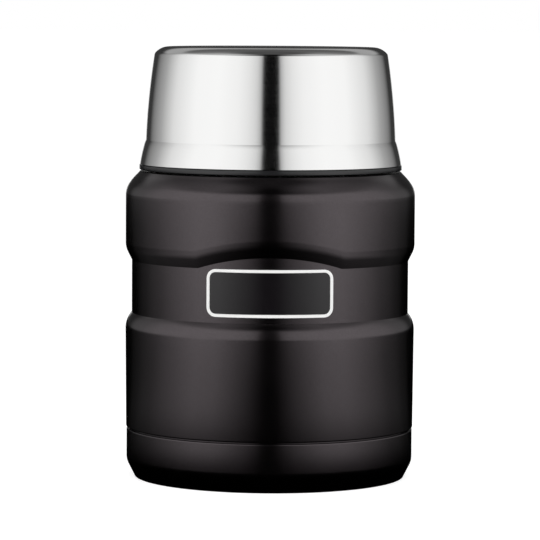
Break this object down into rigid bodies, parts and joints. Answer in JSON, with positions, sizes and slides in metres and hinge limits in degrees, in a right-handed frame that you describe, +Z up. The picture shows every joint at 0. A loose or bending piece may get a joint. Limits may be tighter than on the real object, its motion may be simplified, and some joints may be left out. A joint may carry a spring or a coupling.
{
  "type": "insulated food jar",
  "caption": "Vacuum insulated food jar with a painted steel body, a plug stopper holding a folding spoon, and a screw-on double-walled steel cup.",
  "frame": {"origin": "centre of the foot circle, on the surface that the jar stands on", "axes": "+Z up along the jar's axis, -Y to the front where the recess rises in an arch"},
  "size_m": [0.095, 0.095, 0.1413],
  "materials": {
    "brown_paint": "glossy metallic brown-black paint",
    "satin_steel": "satin steel",
    "cup_steel": "bright satin steel",
    "polished_steel": "polished steel",
    "foil": "bright foil",
    "seal_solder": "dull metal seal",
    "getter_alloy": "pressed metal powder",
    "silicone": "pale silicone",
    "black_plastic": "satin moulded plastic",
    "collar_plastic": "smooth dark plastic",
    "white_foam": "foam"
  },
  "bodies": {
    "jar": {"outer_shell": "brown_paint", "inner_liner": "satin_steel", "vessel_bottom": "satin_steel", "vacuum_seal": "seal_solder", "getter": "getter_alloy", "getter_clip": "satin_steel", "radiation_foil": "foil", "base_cap": "brown_paint"},
    "stopper_seal": {"stopper_gasket": "silicone"},
    "stopper": {"stopper_body": "black_plastic", "stopper_plug": "black_plastic", "stopper_insulation": "white_foam", "stopper_cover": "black_plastic"},
    "cup_rim": {"cup_collar": "collar_plastic"},
    "cup": {"cup_shell": "cup_steel", "cup_bowl": "satin_steel"},
    "spoon": {"spoon_bowl": "polished_steel", "spoon_rivet": "polished_steel"},
    "spoon_grip": {"spoon_handle": "polished_steel"}
  },
  "joints": [
    {"name": "stopper_lift", "type": "slide", "parent": "jar", "child": "stopper_seal", "axis": [0, 0, 1], "range_m": [0, 0.08]},
    {"name": "stopper_turn", "type": "hinge", "parent": "stopper_seal", "child": "stopper", "pos_m": [0, 0, 0.1], "axis": [0, 0, 1], "range_deg": [0, 360]},
    {"name": "cup_lift", "type": "slide", "parent": "stopper", "child": "cup_rim", "axis": [0, 0, 1], "range_m": [0, 0.22]},
    {"name": "cup_turn", "type": "hinge", "parent": "cup_rim", "child": "cup", "pos_m": [0, 0, 0.12], "axis": [0, 0, 1], "range_deg": [0, 360]},
    {"name": "spoon_lift", "type": "slide", "parent": "stopper", "child": "spoon", "axis": [0, 0, 1], "range_m": [0, 0.033]},
    {"name": "spoon_unfold", "type": "hinge", "parent": "spoon", "child": "spoon_grip", "pos_m": [0.0285, 0, 0.11825], "axis": [0, 1, 0], "range_deg": [0, 180]}
  ],
  "couplings": [
    {"joint": "spoon_lift", "follows": "cup_lift", "ratio": 0.15},
    {"joint": "spoon_unfold", "follows": "cup_lift", "rad_per_m": 14.27}
  ]
}
